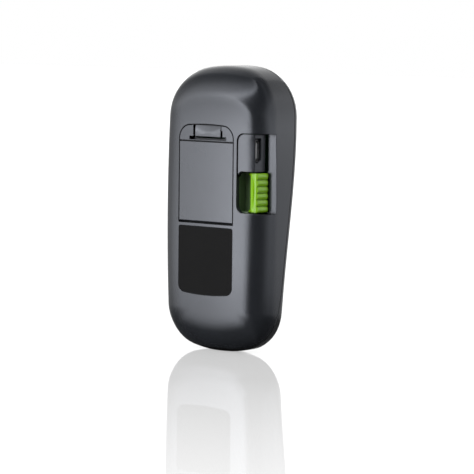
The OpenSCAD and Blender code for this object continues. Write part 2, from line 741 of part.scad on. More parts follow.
module battery_tray() {
  color("#2d2f31") difference() {
    along_y(tray_floor - tray_t, tray_top) translate([door_x, cell_z])
      square([cell_d + 2 * cell_gap + 2 * tray_wall, cell_d + 6.4], center = true);
    along_y(tray_floor, far) translate([door_x, cell_z]) circle(cell_d / 2 + cell_gap);
    along_y(tray_floor + 1, far) translate([door_x, cell_z + cell_d / 2]) square([8, 4], center = true);
    // openings for the contacts
    along_y(0, far) translate([door_x - leg_w / 2 - 0.2, cell_z - cell_d * 0.26 - 0.8])
      square([leg_w + 0.4, 1]);
    along_y(0, far) translate([door_x + cell_d / 2, cell_z - cell_d * 0.16])
      square([1, cell_d * 0.32]);
  }
}
module contact_plus() {
  x = door_x + cell_d / 2 + 0.12;
  clip_w = cell_d * 0.28;
  color("#c8b070") {
    translate([x, tray_floor, cell_z - clip_w / 2]) cube([clip_t, cell_back - tray_floor - 0.9, clip_w]);
    translate([x, board_back + seat, cell_z - leg_w / 2]) cube([clip_t, tray_floor - board_back, leg_w]);
  }
}
module contact_minus() {
  y = tray_floor + seat;
  foot_z = -cell_d * 0.26;
  t = clip_t * 0.8;
  color("#c8b070") {
    translate([door_x - minus_w / 2, 0, cell_z]) rotate([90, 0, 90]) linear_extrude(minus_w) polygon([
      [y, foot_z], [y + t, foot_z], [y + t, -1], [cell_front - 0.08, 3], [y + 0.05 + t, 6],
      [y + 0.05, 6], [cell_front - 0.08 - t, 3], [y, -1]]);
    translate([door_x - leg_w / 2, board_back + seat, cell_z + foot_z - 0.4]) {
      cube([leg_w, y - board_back - seat + t, clip_t]);
      translate([0, y - board_back - seat, 0]) cube([leg_w, t, 0.6]);
    }
  }
}
module rating_label() {
  color("#1b1c1d") along_y(door_y - label_t, door_y) label_shape(0);
}

// ---- electronics -------------------------------------------------------------------------
module main_board() {
  inset = lip_in + board_gap;
  color("#2f5d3a") difference() {
    along_y(board_y, board_back) intersection() {
      polygon([for (p = outline) let (q = point(p, inset, 0, 0)) [q.x, q.z]]);
      translate([-body_w, board_z]) square([2 * body_w, body_h]);
    }
    for (p = screw_at) along_y(-far, far) translate(p) circle(screw_r + 0.15);
  }
}
// A flat part on the back of the main board, centred at x and z.
module board_part(x, z, w, h, t) translate([x - w / 2, board_back, z - h / 2]) cube([w, t, h]);
module board_chips() {
  t = main_chip_t;
  small = main_chip / 2;
  color("#232426") {
    board_part(button_pitch / 2 - 2.5, button_z - 1.5, main_chip, main_chip, t);
    board_part(-button_pitch / 2 + 2.5, button_z + 2.7, main_chip - 2, main_chip - 1, t);
    board_part(button_pitch / 2 + 3.5, button_z + 5.5, small, small / 2, t);
    board_part(-1.5, board_z + 5, small, small / 2, t);
    for (z = [-4, 4]) board_part(body_w / 2 - 6.4, (lens_z + lens_top_z) / 2 - 4.5 + z, small / 2, small, t);
    board_part(3, lens_top_z - 6.5, main_chip - 2, small, t);
    board_part(-6, lens_top_z - 4.5, small / 2, small / 3, t);
  }
}
module buzzer() {
  color("#1d1e20") translate([9.4 - body_w / 2, board_back + buzzer_h, board_z + 7.5])
    rotate([90, 0, 0]) difference() {
      cylinder(h = buzzer_h, r = buzzer_d / 2);
      translate([0, 0, -1]) cylinder(h = 1 + buzzer_h / 2, r = buzzer_d / 10);
    }
}
module board_screws() {
  color("#b9bcc0") for (p = screw_at) translate([p.x, board_back, p.y]) rotate([-90, 0, 0]) difference() {
    union() {
      cylinder(h = head_r * 0.65, r = head_r);
      translate([0, 0, -screw_len]) cylinder(h = screw_len, r = screw_r);
    }
    for (t = [0, 90]) rotate([0, 0, t]) translate([-1, -0.2, head_r * 0.35]) cube([2, 0.4, head_r]);
  }
}
port_board_y = usb_y - usb_h / 2 - usb_sheet - port_board_t;
port_board_x = door_x - cell_d / 2 - cell_gap - tray_wall - 0.7; // its end beside the battery tray
header_x = port_board_x - header_w - 0.4;
module port_board() {
  x0 = lean_x(port_board_y) + insert_wall + 0.4;
  color("#2f5d3a") translate([x0, port_board_y, port_z + insert_wall + 0.3])
    cube([port_board_x - x0, port_board_t, port_h - insert_wall - 1.2]);
}
module board_header() {
  half = usb_w / 2 + 0.25;
  pitch = usb_w / 5;
  pin = header_w / 3;
  color("#232426") {
    translate([header_x, board_back, usb_z - half]) cube([header_w, header_w, 2 * half]);
    for (k = [-2:2]) translate([header_x + pin, board_back + header_w / 2, usb_z + pitch * k - pin / 2])
      cube([pin, port_board_y - board_back - header_w / 2, pin]);
  }
}
// Mouth of a micro USB socket, long side along x, grown by g; its lower corners are bevelled.
module usb_shape(g) {
  w = usb_w / 2 - 0.3 + g;
  h = usb_h / 2 + g;
  polygon([[-w, h], [w, h], [w, -h * 0.1], [w - h * 0.9, -h], [h * 0.9 - w, -h], [-w, -h * 0.1]]);
}
// Mouth in the frame round the socket: full at its upper end, drawn to a point at the lower end.
module usb_mouth() {
  w = usb_w / 2 + usb_sheet + 0.15;
  h = usb_h / 2 + usb_sheet;
  offset(0.3) offset(-0.3)
    polygon([[-w, h + mouth_open], [w - 1.2, h + mouth_open], [w + 0.2, h * 0.6], [w - 1.1, -h], [-w, -h]]);
}
module usb_frame() translate([lean_x(usb_y) + 0.5, usb_y, usb_z]) rotate([0, 90, 0]) children();
module usb_shell() {
  color("#b4b7bb") usb_frame() difference() {
    linear_extrude(usb_len) usb_shape(usb_sheet);
    translate([0, 0, -1]) linear_extrude(usb_len + 0.5) usb_shape(0);
  }
}
module usb_tongue() {
  color("#8d8f92") usb_frame() translate([-2.6, 0, 0.2]) cube([5.2, 0.65, usb_len - 0.75]);
}
module chip_socket() {
  floor_v = blade_up - 0.15;
  t = 0.8;
  x0 = chip_in - blade_len + 0.15;
  x1 = chip_in - 0.45;
  half = blade_w / 2 + blade_gap;
  rail = 0.9;
  color("#1f2022") {
    along_z(chip_z - half - rail, chip_z + half + rail) lean()
      translate([x0, floor_v - t]) square([x1 - x0, t]);
    for (z = [chip_z - half - rail, chip_z + half])
      along_z(z, z + rail) lean() translate([x0, floor_v - t]) square([x1 - x0, t + blade_t + 0.1]);
    // feet on the main board
    for (x = [bay_x - 6.1, bay_x - 0.3], z = [-0.8 * half, 0.8 * half - 1])
      translate([x, board_back, chip_z + z])
        cube([1, lean_bottom(x + 1, floor_v - t) + 0.35 - board_back, 1]);
  }
}
// Depth of the underside of a slab in the leaning frame, v along it, at the position x.
function lean_bottom(x, v) = shelf_y + (x - bay_foot_x) * -wall_slope + v / cos(bay_lean);

// ---- code chip ---------------------------------------------------------------------------
// Section across the chip's grip, its outer face u out of the leaning wall; it leans over the pocket.
module grip_shape(u) {
  foot_y = shelf_y + 0.2;
  over_u = chip_in - chip_over;
  polygon(concat([[u, lean_y(u, foot_y)], [u, chip_w - crown_r]],
    [for (t = [10:10:90]) [u - crown_r * (1 - cos(t)), chip_w - crown_r * (1 - sin(t))]],
    [for (t = [0:grip_turn / 5:grip_turn])
      [over_u + crown_in_r * (sin(grip_turn) - sin(t)), chip_w - crown_in_r * (1 - cos(t))]],
    [[over_u, over_v - 0.3], [chip_in, over_v - 1.05], [chip_in, lean_y(chip_in, foot_y)]]));
}
module code_chip() {
  low_z = chip_z - chip_h / 2;
  high_z = chip_z + chip_h / 2;
  pitch = chip_h / (chip_grooves + 1);
  rib_r = (pow(pitch / 2, 2) + rib_deep * rib_deep) / (2 * rib_deep);
  rib_a = asin(pitch / 2 / rib_r);
  color("#86c232") {
    along_z(low_z, high_z) lean() grip_shape(chip_proud - rib_deep);
    // rounded finger ribs, which run out over the crown
    intersection() {
      along_z(low_z, high_z) lean() grip_shape(chip_proud);
      for (k = [0:chip_grooves]) translate([0, 0, low_z + (k + 0.5) * pitch]) lean()
        rotate([-90, 0, 0]) linear_extrude(2 * chip_w) translate([chip_proud - rib_r, 0]) polygon(concat(
          [[0, rib_r * sin(rib_a)], [0, -rib_r * sin(rib_a)]],
          [for (t = [-rib_a:rib_a / 4:rib_a + 0.1]) rib_r * [cos(t), sin(t)]]));
    }
    // small ears at both ends of the leaning edge
    for (z = [low_z, high_z - ear_len]) along_z(z, z + ear_len) lean()
      translate([chip_in - chip_over - ear_out, over_v - 0.3]) square([ear_out + 1, 0.8]);
    along_z(chip_z - blade_w / 2, chip_z + blade_w / 2) lean()
      translate([chip_in - blade_len, blade_up]) square([blade_len + 0.5, blade_t]);
  }
}
module chip_contacts() {
  pitch = blade_w / 5.5;
  w = 0.6 * pitch;
  color("#d8b352") for (k = [-2:2]) along_z(chip_z + k * pitch - w / 2, chip_z + k * pitch + w / 2)
    lean() translate([chip_in - blade_len + 0.4, blade_up - 0.1]) square([3.2, 0.1]);
}

// ---- display -----------------------------------------------------------------------------
module display_lens() {
  color([0.12, 0.13, 0.14, 0.6]) intersection() {
    front_sheet(lens_z - 2, lens_top_z + 2, lens_w / 2 + 2, 0, lens_t);
    along_y(-far, far) lens_shape(0);
  }
}
// Leaning frame of the display: y from its front face backwards, z up along it.
module tilted() translate([0, lcd_face, lcd_z]) rotate([lcd_tilt, 0, 0]) children();
// Depth of the display's rear face at height z.
function lcd_back(z) = lcd_face + lcd_t / cos(lcd_tilt) - (z - lcd_z) * tan(lcd_tilt);
module lcd_panel() {
  color("#9aa694") tilted() {
    translate([-lcd_w / 2, 0, 1]) cube([lcd_w, lcd_t / 2, lcd_h - 2]);
    translate([-lcd_w / 2, lcd_t / 2, 0]) cube([lcd_w, lcd_t / 2, lcd_h]);
  }
}
module lcd_frame() {
  z0 = lcd_z - 0.8;
  z1 = lens_top_z - 2.8;
  zs = [for (k = [0:10]) z0 + (z1 - z0) * k / 10];
  color("#232426") difference() {
    translate([-lcd_w / 2 - 0.9, 0, 0]) rotate([90, 0, 90]) linear_extrude(lcd_w + 1.8) polygon(concat(
      [for (z = zs) [front_y(z) + wall + 0.25, z]], [[board_y - seat, z1], [board_y - seat, z0]]));
    tilted() translate([-lcd_w / 2 - 0.1, -0.05, -0.1]) cube([lcd_w + 0.2, far, lcd_h + 0.2]);
    along_y(-far, far) lens_shape(-lens_ledge - 0.8);
  }
}
module zebra_strips() {
  color("#d7c9c9") for (z = [lcd_z + 0.9, lcd_z + lcd_h - 3]) translate([-lcd_w / 2 + 1, 0, 0])
    rotate([90, 0, 90]) linear_extrude(lcd_w - 2) polygon([
      [lcd_back(z), z], [lcd_back(z + 1.8), z + 1.8], [board_y, z + 1.8], [board_y, z]]);
}

// ---- buttons -----------------------------------------------------------------------------
module button(x) {
  stem_y = board_y - dome_h - button_travel - 0.05;
  color("#2a2c2f") {
    intersection() {
      front_sheet(button_z - 6, button_z + 6, body_w / 2, -button_proud, wall + 0.5);
      translate([x, 0, button_z]) along_y(-far, far) button_shape(0);
    }
    intersection() {
      front_sheet(button_z - 6, button_z + 6, body_w / 2, wall + 0.12, wall + 0.6);
      translate([x, 0, button_z]) along_y(-far, far) button_shape(button_rim);
    }
    along_y(front_y(button_z) + wall, stem_y) translate([x, button_z]) circle(1.2);
  }
}
module memory_button() button(-button_pitch / 2);
module set_button() button(button_pitch / 2);
module button_domes() {
  color("#c9ccd0") for (x = [-1, 1]) translate([x * button_pitch / 2, board_y, button_z]) rotate([90, 0, 0]) {
    cylinder(h = 0.4 * dome_h, r = dome_r);
    cylinder(h = dome_h, r1 = 0.85 * dome_r, r2 = 0.55 * dome_r);
  }
}

// ---- strip end ---------------------------------------------------------------------------
guide_t = 1.6;                      // thickness of the strip guide behind the strip's path
module window_cover() {
  color("#3c3f43") difference() {
    intersection() {
      front_sheet(window_z - 2, window_top_z + 2, window_w / 2 + 2, 0, window_t);
      along_y(-far, far) window_shape(0);
    }
    along_y(-far, far) translate([0, guide_z]) round_rect(eye_w + 1.8, eye_h + 0.8, 1.5);
  }
}
module strip_guide() {
  color("#d9dadb") difference() {
    intersection() {
      front_sheet(window_z - 2, window_top_z, body_w / 2, strip_a, strip_b + guide_t);
      along_y(-far, far) guide_shape(0);
    }
    front_sheet(window_z - 3, window_top_z - 4, strip_w / 2, 0, strip_b);
    along_y(-far, far) translate([0, guide_z]) round_rect(eye_w, eye_h, 0.8);
  }
}
module measuring_window() {
  color([0.75, 0.8, 0.85, 0.5]) intersection() {
    front_sheet(guide_z - eye_h, guide_z + eye_h, eye_w, strip_b + 0.1, strip_b + 1.1);
    along_y(-far, far) translate([0, guide_z]) round_rect(eye_w - 0.1, eye_h - 0.1, 0.75);
  }
}
module optics_block() {
  y0 = front_y(guide_z - guide_h / 2) + strip_b + guide_t + seat;
  color("#1f2022") difference() {
    translate([-guide_w / 2 + 1, y0, guide_z - guide_h / 2 + 0.5]) cube([guide_w - 2, optics_t, guide_h - 1]);
    along_y(y0 - 1, y0 + optics_t * 0.7) translate([0, guide_z]) circle(eye_h * 0.45);
  }
}

rear_cover();
front_cover();
port_frame();
chip_bay();
battery_door();
battery_latch();
rating_label();
coin_cell();
battery_tray();
contact_plus();
contact_minus();
main_board();
board_chips();
buzzer();
board_screws();
port_board();
board_header();
usb_shell();
usb_tongue();
chip_socket();
code_chip();
chip_contacts();
display_lens();
lcd_panel();
lcd_frame();
zebra_strips();
memory_button();
set_button();
button_domes();
window_cover();
measuring_window();
strip_guide();
optics_block();
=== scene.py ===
"""Looks for the hand-held meter: materials, edge shading, floor, camera and studio light."""

import math

import bpy
from mathutils import Matrix, Vector


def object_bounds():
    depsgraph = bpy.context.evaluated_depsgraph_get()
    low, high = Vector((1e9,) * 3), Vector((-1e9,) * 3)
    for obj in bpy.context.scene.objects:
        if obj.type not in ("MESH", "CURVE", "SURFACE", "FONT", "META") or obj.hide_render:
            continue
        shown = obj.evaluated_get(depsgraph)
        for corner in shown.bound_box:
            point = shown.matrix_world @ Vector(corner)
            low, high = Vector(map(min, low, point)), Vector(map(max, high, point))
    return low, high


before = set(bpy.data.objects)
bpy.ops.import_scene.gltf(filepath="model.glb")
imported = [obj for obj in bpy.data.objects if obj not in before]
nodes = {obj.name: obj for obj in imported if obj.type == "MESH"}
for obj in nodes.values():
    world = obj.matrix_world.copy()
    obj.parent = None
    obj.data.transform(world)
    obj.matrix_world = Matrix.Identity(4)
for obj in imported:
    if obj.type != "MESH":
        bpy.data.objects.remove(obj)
cad_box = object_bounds()

MM = 0.001
WHITE = (1.0, 1.0, 1.0, 1.0)

# ---- small node helpers


def rgba(colour):
    return (*colour, 1.0)


def empty_tree(owner):
    """The node tree of a material or world, emptied."""
    owner.use_nodes = True
    owner.node_tree.nodes.clear()
    return owner.node_tree


def add(tree, kind, **settings):
    """A new node of that kind, with these settings."""
    node = tree.nodes.new(kind)
    for key, value in settings.items():
        setattr(node, key, value)
    return node


def feed(tree, value, socket):
    """Links a node's output to the socket, or sets the socket to a plain value."""
    if isinstance(value, bpy.types.NodeSocket):
        tree.links.new(value, socket)
    else:
        socket.default_value = value


def calc(tree, operation, *values):
    """The result of one math step on numbers and outputs."""
    node = add(tree, "ShaderNodeMath", operation=operation)
    for value, socket in zip(values, node.inputs):
        feed(tree, value, socket)
    return node.outputs[0]


def product(tree, first, *others):
    """All these numbers and outputs multiplied."""
    for other in others:
        first = calc(tree, "MULTIPLY", first, other)
    return first


def vector_calc(tree, operation, *values, result="Vector"):
    """The result of one vector math step, a vector or with result="Value" a number."""
    node = add(tree, "ShaderNodeVectorMath", operation=operation)
    for value, socket in zip(values, node.inputs):
        feed(tree, value, socket)
    return node.outputs[result]


def scaled(tree, colour, share):
    """The colour times the share."""
    node = add(tree, "ShaderNodeVectorMath", operation="SCALE")
    feed(tree, colour, node.inputs[0])
    feed(tree, share, node.inputs["Scale"])
    return node.outputs["Vector"]


def value_map(tree, source, low, high, from_low=0.0, from_high=1.0):
    """The source value, spread between low and high and held at them beyond its own ends."""
    node = add(tree, "ShaderNodeMapRange")
    node.inputs["From Min"].default_value = from_low
    node.inputs["From Max"].default_value = from_high
    node.inputs["To Min"].default_value = low
    node.inputs["To Max"].default_value = high
    feed(tree, source, node.inputs["Value"])
    return node.outputs["Result"]


def two_tone(tree, source, dark, light):
    """A colour that wanders between dark and light with the source value."""
    node = add(tree, "ShaderNodeMix", data_type="RGBA")
    node.inputs["A"].default_value = rgba(dark)
    node.inputs["B"].default_value = rgba(light)
    feed(tree, source, node.inputs["Factor"])
    return node.outputs["Result"]


def noise(tree, where, scale, detail=3.0, rough=0.55):
    node = add(tree, "ShaderNodeTexNoise")
    node.inputs["Scale"].default_value = scale
    node.inputs["Detail"].default_value = detail
    node.inputs["Roughness"].default_value = rough
    feed(tree, where, node.inputs["Vector"])
    return node.outputs["Fac"]


def mix(tree, share, first, second):
    """Two shaders mixed, by the share of the second."""
    node = add(tree, "ShaderNodeMixShader")
    feed(tree, share, node.inputs["Fac"])
    feed(tree, first, node.inputs[1])
    feed(tree, second, node.inputs[2])
    return node.outputs[0]


# ---- parts of the materials

# Nearly all values of a noise lie between these two.
NOISE_SPAN = (0.3, 0.7)

# Plastic: the fine grain's share of the change in colour, of which slow clouds give the rest,
# and the strength of its bumps.
GRAIN_SHARE = 0.5
GRAIN_BUMP = 0.6
# Sheet metal: the scales of its drawn lines and its handling marks, the colour left in the
# darkest marks, and the strength and depth of the lines in millimetres.
LINE_SCALE = 900.0
MARK_SCALE = 240.0
MARK_LEFT = 0.82
LINE_BUMP = 0.3
LINE_DEPTH = 0.01
# Clear plastic: the scale of its waves, with the gloss and lightness that they change.
WAVE_SCALE = 160.0
WAVE_ROUGH = (0.03, 0.07)
WAVE_PALE = 1.03
ACRYLIC_IOR = 1.49

# Rays for each reading of a rounded edge or of cover.
READINGS = 6
# Painted shade in grooves and gaps: how far a surface looks for cover, the readings from well
# covered to open, and what is left of the colour and gloss where it is well covered.
COVER_REACH = 1.5 * MM
COVER_SPAN = (0.42, 0.88)
COVER_LEFT = 0.04
# The same painted shade along rims, read as the cosine between the rounded and the true face.
RIM_SPAN = (0.80, 0.98)
RIM_LEFT = 0.25

# Painted shade on the shells' reflection: the heights between which it dims towards the top
# and rises again from the foot, and what is left of it at each end.
TOP_SPAN = (77 * MM, 93 * MM)
TOP_SHEEN_LEFT = 0.38
FOOT_SPAN = (10 * MM, 30 * MM)
FOOT_SHEEN_LEFT = 0.72


def start_material(name):
    """A new material with one principled shader, and the object's own coordinates."""
    material = bpy.data.materials.new(name)
    tree = empty_tree(material)
    out = add(tree, "ShaderNodeOutputMaterial")
    shader = add(tree, "ShaderNodeBsdfPrincipled")
    feed(tree, shader.outputs["BSDF"], out.inputs["Surface"])
    where = add(tree, "ShaderNodeTexCoord").outputs["Object"]
    return material, tree, shader, where


def true_face(tree):
    """The direction that the surface faces, with its smooth shading."""
    return add(tree, "ShaderNodeNewGeometry").outputs["Normal"]


def rounded_face(tree, radius):
    """The same, with sharp edges rounded by the radius in millimetres."""
    node = add(tree, "ShaderNodeBevel", samples=READINGS)
    node.inputs["Radius"].default_value = radius * MM
    return node.outputs[0]


def bowed_face(tree, where, face, crown):
    """The face turned away from the body's middle, the more the nearer its sides."""
    bowed = vector_calc(tree, "MULTIPLY_ADD", where, (crown, 0, 0), face)
    return vector_calc(tree, "NORMALIZE", bowed)


def grained_face(tree, fine, strength, depth, face=None):
    """The face with the fine grain as bumps of that depth in millimetres."""
    node = add(tree, "ShaderNodeBump")
    node.inputs["Strength"].default_value = strength
    node.inputs["Distance"].default_value = depth * MM
    feed(tree, fine, node.inputs["Height"])
    if face is not None:
        feed(tree, face, node.inputs["Normal"])
    return node.outputs["Normal"]


def painted_crease_shade(tree, rounded):
    """Painted shade share: near 0 in narrow grooves and gaps, low on their rims, else 1."""
    cover = add(tree, "ShaderNodeAmbientOcclusion", samples=READINGS)
    cover.inputs["Distance"].default_value = COVER_REACH
    depth = value_map(tree, cover.outputs["AO"], COVER_LEFT, 1.0, *COVER_SPAN)
    turn = vector_calc(tree, "DOT_PRODUCT", rounded, true_face(tree), result="Value")
    rim = value_map(tree, turn, RIM_LEFT, 1.0, *RIM_SPAN)
    return product(tree, depth, rim)


def painted_end_shade(tree, where):
    """The share of reflection left at a height, as painted shade: less at the top and the foot.
    """
    place = add(tree, "ShaderNodeSeparateXYZ")
    feed(tree, where, place.inputs[0])
    upper = value_map(tree, place.outputs["Z"], 1.0, TOP_SHEEN_LEFT, *TOP_SPAN)
    lower = value_map(tree, place.outputs["Z"], FOOT_SHEEN_LEFT, 1.0, *FOOT_SPAN)
    return product(tree, upper, lower)


def clouded(tree, where, fine, colour, vary, patch):
    """The colour, lighter and darker by the share vary with slow clouds and fine grain."""
    cloud = noise(tree, where, patch)
    slow = value_map(tree, cloud, 0.0, 1.0 - GRAIN_SHARE, *NOISE_SPAN)
    tone = calc(tree, "MULTIPLY_ADD", fine, GRAIN_SHARE, slow)
    dark = [c * (1 - vary) for c in colour]
    light = [min(1.0, c * (1 + vary)) for c in colour]
    return two_tone(tree, tone, dark, light)


# ---- kinds of material


def plastic(
    name,
    colour,
    vary=0.12,
    rough=(0.36, 0.44),
    level=0.5,
    patch=90.0,
    grain=5200.0,
    grain_depth=0.01,
    sheen_tint=(1.0, 1.0, 1.0),
    crown=0.0,
    edge=0.0,
    painted_groove_shade=False,
):
    """Moulded plastic: slow cloudy tone, fine spark grain in colour, gloss and height.

    patch and grain are the scales of the clouds and the grain, and grain_depth is in
    millimetres. edge rounds sharp edges by that many millimetres. Two looks need an edge:
    crown bows the faces across the body by that many radians per metre, and the last flag
    lays painted shade into narrow grooves, gaps and rims and, as painted shade too, dims the
    reflection towards the body's two ends.
    """
    material, tree, shader, where = start_material(name)
    fine = noise(tree, where, grain, detail=2.0)
    body = clouded(tree, where, fine, colour, vary, patch)
    tint = rgba(sheen_tint)
    face = rounded_face(tree, edge) if edge else None
    # Painted shade: the colour and reflection are darkened in grooves, gaps and on rims.
    if painted_groove_shade:
        unshaded_share = painted_crease_shade(tree, face)
        body = scaled(tree, body, unshaded_share)
        # The reflection is also dimmed towards the top and the foot, as painted shade.
        tint = scaled(tree, sheen_tint, product(tree, unshaded_share, painted_end_shade(tree, where)))
    if crown:
        face = bowed_face(tree, where, face, crown)
    feed(tree, body, shader.inputs["Base Color"])
    feed(tree, tint, shader.inputs["Specular Tint"])
    shader.inputs["Specular IOR Level"].default_value = level
    feed(tree, value_map(tree, fine, *rough, *NOISE_SPAN), shader.inputs["Roughness"])
    grained = grained_face(tree, fine, GRAIN_BUMP, grain_depth, face)
    feed(tree, grained, shader.inputs["Normal"])
    return material


def metal(name, colour, rough=(0.2, 0.35), stretch=(1.0, 1.0, 14.0)):
    """Sheet metal with fine drawn lines and light handling marks."""
    material, tree, shader, where = start_material(name)
    lines = add(tree, "ShaderNodeMapping")
    lines.inputs["Scale"].default_value = stretch
    feed(tree, where, lines.inputs["Vector"])
    fine = noise(tree, lines.outputs["Vector"], LINE_SCALE, detail=4.0)
    marks = noise(tree, where, MARK_SCALE)
    dark = [c * MARK_LEFT for c in colour]
    feed(tree, two_tone(tree, marks, dark, colour), shader.inputs["Base Color"])
    feed(tree, value_map(tree, fine, *rough, *NOISE_SPAN), shader.inputs["Roughness"])
    feed(tree, grained_face(tree, fine, LINE_BUMP, LINE_DEPTH), shader.inputs["Normal"])
    shader.inputs["Metallic"].default_value = 1.0
    return material


def clear_plastic(name, colour):
    """Clear moulded window with a faint orange-peel surface."""
    material, tree, shader, where = start_material(name)
    wave = noise(tree, where, WAVE_SCALE, detail=1.0)
    pale = [min(1.0, c * WAVE_PALE) for c in colour]
    feed(tree, two_tone(tree, wave, colour, pale), shader.inputs["Base Color"])
    feed(tree, value_map(tree, wave, *WAVE_ROUGH), shader.inputs["Roughness"])
    shader.inputs["Transmission Weight"].default_value = 1.0
    shader.inputs["IOR"].default_value = ACRYLIC_IOR
    return material


# ---- the finish of each CAD material

# What both halves of the housing share.
SATIN = dict(vary=0.14, rough=(0.15, 0.19), level=0.7)
FINISHES = {
    "shell_grey": (plastic, dict(
        colour=(0.019, 0.021, 0.025), sheen_tint=(0.86, 0.90, 1.0),
        # With painted shade in grooves, gaps and rims, and a reflection dimmed at both ends.
        crown=3.2, edge=0.25, painted_groove_shade=True, **SATIN,
    )),
    "shell_dark": (plastic, dict(
        colour=(0.022, 0.023, 0.025), sheen_tint=(0.90, 0.93, 1.0), **SATIN,
    )),
    # Dark plastic, lifted and tinted green as a painted reflection of the lime chip beside it.
    "liner_black": (plastic, dict(colour=(0.080, 0.130, 0.060), rough=(0.3, 0.4), level=0.6)),
    "black_plastic": (plastic, dict(colour=(0.014, 0.014, 0.015), rough=(0.4, 0.5))),
    "label_black": (plastic, dict(
        colour=(0.005, 0.005, 0.0055), vary=0.2, rough=(0.3, 0.36), level=0.05,
        grain=1800.0, grain_depth=0.004,
    )),
    "lime_plastic": (plastic, dict(
        colour=(0.275, 0.600, 0.010), vary=0.07, rough=(0.14, 0.18), level=0.75,
        # With painted shade in the grooves between its ribs and in gaps.
        patch=160.0, grain_depth=0.006, edge=0.8, painted_groove_shade=True,
    )),
    "button_black": (plastic, dict(colour=(0.030, 0.031, 0.034), rough=(0.3, 0.38))),
    "lens_clear": (clear_plastic, dict(colour=(0.86, 0.88, 0.88))),
    "lcd_glass": (plastic, dict(
        colour=(0.30, 0.34, 0.28), vary=0.05, rough=(0.12, 0.16), grain_depth=0.002,
    )),
    "steel": (metal, dict(colour=(0.62, 0.62, 0.63))),
    "cell_steel": (metal, dict(
        colour=(0.66, 0.66, 0.65), rough=(0.24, 0.34), stretch=(14.0, 1.0, 1.0),
    )),
    "gold": (metal, dict(colour=(0.86, 0.62, 0.25), rough=(0.18, 0.28))),
    "spring_bronze": (metal, dict(colour=(0.70, 0.52, 0.32))),
    "board_green": (plastic, dict(colour=(0.020, 0.130, 0.055), vary=0.1, rough=(0.3, 0.4))),
    "rubber_pink": (plastic, dict(colour=(0.45, 0.22, 0.22), rough=(0.6, 0.7), level=0.3)),
    "white_plastic": (plastic, dict(
        colour=(0.62, 0.62, 0.60), vary=0.04, rough=(0.35, 0.45),
    )),
    "grey_plastic": (plastic, dict(
        colour=(0.62, 0.63, 0.64), vary=0.06, rough=(0.3, 0.38),
    )),
}

finished = {name: make(name, **look) for name, (make, look) in FINISHES.items()}
for node in nodes.values():
    for slot in node.material_slots:
        cad_material = slot.material.name.split(".")[0]
        slot.material = finished[cad_material]

# ---- shading of the moulded edges

WELD = 0.002 * MM
SHARP_EDGE = math.radians(28)
# The faces of these lofted covers shade evenly as they are.
LOFTED = ("rear_cover", "front_cover")


def edge_shading():
    """Welds the corners and shades smooth across every edge flatter than the sharp ones."""
    tree = bpy.data.node_groups.new("edge_shading", "GeometryNodeTree")
    for way in ("INPUT", "OUTPUT"):
        tree.interface.new_socket("Geometry", in_out=way, socket_type="NodeSocketGeometry")
    weld = add(tree, "GeometryNodeMergeByDistance")
    weld.inputs["Distance"].default_value = WELD
    drop = add(tree, "GeometryNodeRemoveAttribute")
    drop.inputs["Name"].default_value = "custom_normal"
    smooth_faces = add(tree, "GeometryNodeSetShadeSmooth", domain="FACE")
    sharp_edges = add(tree, "GeometryNodeSetShadeSmooth", domain="EDGE")
    sharp_edges.inputs["Shade Smooth"].default_value = False
    angle = add(tree, "GeometryNodeInputMeshEdgeAngle").outputs["Unsigned Angle"]
    sharp = add(tree, "FunctionNodeCompare", data_type="FLOAT", operation="GREATER_THAN")
    feed(tree, angle, sharp.inputs["A"])
    feed(tree, SHARP_EDGE, sharp.inputs["B"])
    feed(tree, sharp.outputs["Result"], sharp_edges.inputs["Selection"])
    shape = add(tree, "NodeGroupInput").outputs[0]
    for step in (weld, drop, smooth_faces, sharp_edges):
        feed(tree, shape, step.inputs["Geometry"])
        shape = step.outputs["Geometry"]
    feed(tree, shape, add(tree, "NodeGroupOutput").inputs[0])
    return tree


shading = edge_shading()
for node in nodes.values():
    smooth = node.modifiers.new("edge_shading", "NODES")
    smooth.node_group = shading
    if node.name not in LOFTED:
        weighted = node.modifiers.new("even_normals", "WEIGHTED_NORMAL")
        weighted.keep_sharp = True

# ---- floor

FLOOR_HALF = 3.0
FLOOR_DROP = 0.02 * MM
FLOOR_COLOUR = 0.86
# The camera sees the floor glow near white, with this share of its lit colour on top.
FLOOR_GLOW = 0.86
LIT_SHARE = 0.5
# Its mirror image fades between these distances from the meter's foot, from the near share
# to the far one.
MIRROR_ROUGH = 0.02
IMAGE_SPAN = (0.07, 0.46)
IMAGE_NEAR = 0.48
IMAGE_FAR = 0.03
# To all other rays the floor is dark and mirrors the studio, most at grazing angles. The span
# is of Layer Weight's facing, which runs from 0 straight on to 1 at the edge.
UNDER_COLOUR = 0.08
GRAZING_SPAN = (0.66, 0.85)
SHEEN_STEEP = 0.04
SHEEN_GRAZING = 0.92


def matt(tree, grey):
    node = add(tree, "ShaderNodeBsdfDiffuse")
    node.inputs["Color"].default_value = (grey, grey, grey, 1.0)
    return node.outputs[0]


def glow(tree, strength):
    node = add(tree, "ShaderNodeEmission")
    node.inputs["Color"].default_value = WHITE
    node.inputs["Strength"].default_value = strength
    return node.outputs[0]


